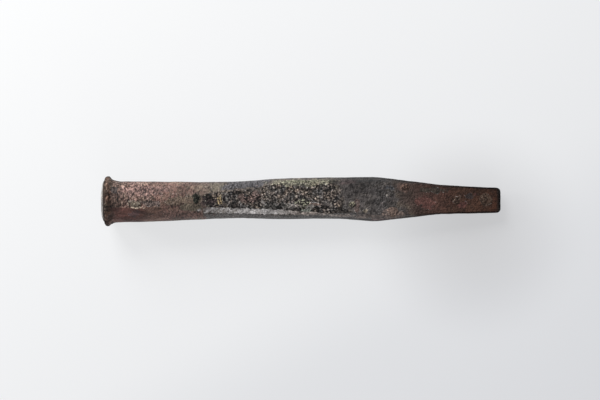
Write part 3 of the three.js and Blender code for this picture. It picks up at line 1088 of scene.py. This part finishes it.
blade_tone = 0.4 + 0.7 * patina.grain(1.1, detail=4.0) + 0.5 * patina.grain(4.0)
colour, tone = lay_over(patina.zone("blade"), colour, blade_tone)
brushed = patina.grain(1.4, detail=3.0, stretch=(0.25, 1, 1))
strip_colour = patina.mix(past(13, 19), worn_red, worn_brown)
colour, tone = lay_over(patina.zone("red_grip") * 0.8, strip_colour, 0.25 + 1.1 * brushed)
colour, tone = lay_over(rough_zone("near_flank") * 0.9, grey_near_side, 0.25 + 1.2 * fine)
colour, tone = lay_over(rough_zone("blue_flank") * 0.9, blue_far_side, 0.05 + 1.7 * streaks)
tell("the flanks")

# %% [markdown]
# ## The body: a bare arris beside a dark crust
#
# Wear has kept the near arris of the body bare, and the flat beside it lies under a dark gritty crust. A
# painter would glaze one over the other. Here each stored zone, its border broken up by noise, says where
# its layer lies, so that a colour ends where its relief ends.

# %% The bare arris, painted pale as a reflection, with a painted glint along its middle and gaps in it outside that
# bare metal, painted paler than bronze as a reflection of the light
bare_metal_and_reflection = (0.74, 0.70, 0.685)
warm_metal_and_reflection = (0.73, 0.62, 0.56)

gaps = (1 - patina.zone("shine")) * patina.step(patina.grain(1.1, detail=2.0), 0.52, 0.44)
bare = rough_zone("arris") * (0.4 + 0.65 * patina.grain(1.3)) * (1 - 0.7 * gaps)
# a painted glint, brighter along the middle of the arris
painted_glint = (0.32 + 0.78 * fine) * (0.96 + 0.34 * patina.zone("shine"))
colour, tone = lay_over(bare, patina.mix(past(64, 76), bare_metal_and_reflection, warm_metal_and_reflection), painted_glint)
tell("the arris")

# %% The crust, from gritty to smooth
grey_crust = (0.075, 0.070, 0.068)
brown_crust = (0.094, 0.071, 0.055)
green_dust = (0.14, 0.135, 0.10)
dark_crust = (0.056, 0.050, 0.049)

crusted = rough_zone("crust")
settled = rough_zone("smooth_crust")
dust = patina.grain(1.1, detail=2.0) * patina.zone("far_flank")
crust_colour = patina.mix(patina.grain(2.6) * 0.9, grey_crust, brown_crust)
crust_colour = patina.mix(dust, crust_colour, green_dust)
crumbs = 0.5 * fine + 0.5 * patina.grain(0.95, detail=3.0)
crust_tone = 3.1 * crumbs * crumbs * crumbs * (0.4 + 1.2 * patina.grain(2.4)) * (1 - 0.8 * pits)
colour, tone = lay_over(crusted * (1 - 0.75 * patina.zone("smooth_crust")), crust_colour, crust_tone)
colour, tone = lay_over(settled * 0.75, dark_crust, 0.2 + 1.2 * patina.cells(1.25) + 0.4 * fine)
tell("the crust")

# %% Stains keep the texture under them, and crumbs bring their own
patch = patina.step(patina.zone("patch_mask") + rough_edge, 0.3, 0.75)
minerals = patina.node("Attribute", {"attribute_name": "patch_colour"}, output="Color")
crumbly = patina.zone("crumbly")
cover = 0.8 * patch * (1 - 0.7 * crumbly * (1 - patina.grain(0.9, detail=3.0)))
colour, tone = lay_over(cover, minerals, tone + crumbly * (0.15 + 1.55 * fine - tone))
tell("the stains")

# %% [markdown]
# ## Grains and spots
#
# Pale grains sit in the crust, and elsewhere small spots of the skin are polished. A painted picture of
# them would blur when seen from near. A Voronoi texture gives round dots on a loose grid instead, and a
# share of its cells stays empty, so that no grid shows.

# %% Polished spots and pale grit
polished_spot = (0.34, 0.26, 0.235)
pale_grit = (0.38, 0.345, 0.285)
lip_speck = (0.34, 0.27, 0.22)

polished = patina.specks(spacing=1.3, radius=0.4, share=0.4)
polished = polished * (1 - patina.zone("blade")) * (1 - patina.zone("red_grip"))
polished = polished * (0.45 - 0.3 * patina.zone("smooth_crust")) * (1 - 0.5 * crusted)
colour, tone = lay_over(polished, polished_spot, 1.0)
grit = patina.specks(spacing=1.2, radius=0.34, share=0.35)
grit = grit * crusted * (1 - 0.8 * patina.zone("smooth_crust"))
colour, tone = lay_over(grit * 0.62, pale_grit, 1.0)
lip_grit = patina.zone("lip") * patina.specks(spacing=1.5, radius=0.36, share=0.35)
colour, tone = lay_over(lip_grit * 0.6, lip_speck, 1.0)
tell("the grit")

# %% The face and its groove, the painted shade of the far side and the rims, and the painted shade and highlight of the relief
face_middle = (0.13, 0.108, 0.092)
face_border = (0.35, 0.33, 0.31)
groove_dirt_and_shade = (0.014, 0.010, 0.008)

face_colour = patina.mix(patina.zone("face_rim"), face_middle, face_border)
colour, tone = lay_over(patina.zone("face") * 0.9, face_colour, 0.55 + 0.6 * patina.grain(1.6))
# the groove and the lip's front, dark with dirt and with painted shade
colour, tone = lay_over(patina.zone("groove") * 0.9, groove_dirt_and_shade, 1.0)
# painted shade: on the far side from the body's swell on, and on the rims
tone = tone * (1 - 0.56 * patina.zone("far_edge")) * (1 - patina.zone("rim"))
# painted shade in the pits and painted highlight on the high spots, by how far the skin stands proud
colour = patina.shade(colour, tone * (patina.step(patina.zone("proud"), -0.25, 0.3) * 1.2 + 0.4))
tell("the head")

# %% Put the patina on the bar
dull = 0.35 * patina.zone("rim") + 0.5 * patina.zone("groove")
roughness = 0.5 + 0.3 * crusted + 0.3 * patina.zone("blade") - 0.1 * bare + dull
look = {"Base Color": colour, "Roughness": roughness, "Metallic": 0.7 * bare, "Specular IOR Level": 0.25}
bar.data.materials.clear()
bar.data.materials.append(patina.surface(patina.grain(0.7, detail=3.0), 0.22, **look))
tell("its surface")

# %% [markdown]
# ## The minerals of the lumps
#
# Each lump is a mineral with a colour of its own: dull green, cream, yellow, tan or ochre. All of them
# crumble in the same way, so one function makes them all, from the colour of the hollows and that of the
# grains.


# %% The lumps' minerals
def mineral(name, dark, pale, share):
    """A crumbly mineral, dark in its hollows and pale on its grains, which cover a share of it."""
    shader = Shader(name)
    crumbs = shader.step(shader.grain(0.65, detail=3.0), 0.85 - share, 1.15 - share)
    colour = shader.mix(crumbs, dark, pale)
    colour = shader.shade(colour, 0.45 + 0.35 * shader.grain(2.2) + 0.75 * shader.grain(0.6))
    look = {"Base Color": colour, "Roughness": 0.9, "Specular IOR Level": 0.2}
    return shader.surface(shader.grain(0.5, detail=3.0), 0.15, **look)


for node, (dark, pale, share) in lump_colours.items():
    lumps[node].data.materials.append(mineral(node + "_mineral", dark, pale, share))
print("all lumps have their mineral")

# %% [markdown]
# ## The table and the light
#
# The photograph has a pale table and soft light from the upper left, with a little from the near side. Two
# windows and a faint reflector give that light. The table's fall off to grey at the lower right is painted
# light in its colour, and so are a painted shadow below the blade and a painted shadow across the lower
# right corner. Most of the table's brightness is its own, seen only by the camera and in reflections, so
# that the bar's shadow on it stays as faint as in the photograph.

# %% The table's painted light, brighter at the upper left, with a painted shadow pool below the blade and a painted shadow across the lower right corner
table_width = 3.0
shadow_pool_place = (0.066, -0.012, 0)
shadow_pool_reach = 0.045
# lit and shaded copies of the paper, and the warmer grey of the painted shadow pool
shaded_paper = (0.592, 0.603, 0.635)
lit_paper = (0.965, 0.97, 0.972)
shadow_pool_colour = (0.60, 0.59, 0.575)

paper = Shader("pale_paper")
x = paper.node("SeparateXYZ", None, {0: paper.spot}, output="X")
y = paper.node("SeparateXYZ", None, {0: paper.spot}, output="Y")
ends = {0: paper.spot, 1: shadow_pool_place}
from_shadow_pool = paper.node("VectorMath", {"operation": "DISTANCE"}, ends, output="Value")
shadow_pool = paper.step(from_shadow_pool, shadow_pool_reach, 0.0)
corner_shadow = paper.step(x - 1.9 * y, 0.05, 0.14)
# painted light: the tone falls off from the upper left, and the painted shadows darken it
tone = 0.842 - 0.44 * x + 0.56 * y - 0.055 * corner_shadow - 0.12 * shadow_pool
fall = paper.node("MapRange", None, {"Value": tone, "From Min": 0.6, "From Max": 0.97})
shade = paper.mix(fall, shaded_paper, lit_paper)
shade = paper.mix(0.35 * shadow_pool, shade, shadow_pool_colour)
print("the table's shade takes", len(paper.tree.nodes), "nodes")

# %% The table, which glows for the camera and for reflections
glow_share = 0.80
matte = paper.node("BsdfDiffuse", None, {"Color": shade})
glow = paper.node("Emission", None, {"Color": shade})
rays = paper.node("LightPath", output="Is Camera Ray") + paper.node("LightPath", output="Is Glossy Ray")
seen = paper.node("MixShader", None, {0: glow_share * rays, 1: matte, 2: glow})
paper.node("OutputMaterial", None, {"Surface": seen})

start_fresh()
bpy.ops.mesh.primitive_plane_add(size=table_width, location=(0, 0, 0))
table = bpy.context.object
table.name = "pale_table"
table.data.materials.append(paper.material)
print("the table is", table_width, "m wide")


# %% The windows
def window(name, place, width, power):
    """A large soft light that faces the bar."""
    bpy.ops.object.light_add(type="AREA", location=place)
    light = bpy.context.object
    light.name = name
    light.data.shape = "SQUARE"
    light.data.size = width
    light.data.energy = power
    light.rotation_euler = (-Vector(place)).to_track_quat("-Z", "Y").to_euler()


window("north_window", place=(-0.5, 0.82, 0.62), width=0.6, power=15.0)
window("west_window", place=(-1.0, 0.3, 0.34), width=0.3, power=6.0)
window("near_reflector", place=(0.1, -0.9, 0.4), width=0.5, power=1.6)
print("two windows and a reflector light the bar")

# %% The room, which lights the bar more faintly than the camera sees its walls
room_white = (0.97, 0.98, 1.0)
room_strength = 0.32
wall_grey = (0.86, 0.87, 0.88)

sky = bpy.data.worlds.new("soft_room")
bpy.context.scene.world = sky
sky.use_nodes = True
nodes, links = sky.node_tree.nodes, sky.node_tree.links
room_light = nodes["Background"]
room_light.inputs["Color"].default_value = (*room_white, 1)
room_light.inputs["Strength"].default_value = room_strength
pale_wall = nodes.new("ShaderNodeBackground")
pale_wall.inputs["Color"].default_value = (*wall_grey, 1)
either = nodes.new("ShaderNodeMixShader")
links.new(nodes.new("ShaderNodeLightPath").outputs["Is Camera Ray"], either.inputs["Fac"])
links.new(room_light.outputs["Background"], either.inputs[1])
links.new(pale_wall.outputs["Background"], either.inputs[2])
links.new(either.outputs["Shader"], nodes["World Output"].inputs["Surface"])
bpy.context.scene.view_settings.view_transform = "Standard"
print("the room is lit at a strength of", room_strength)
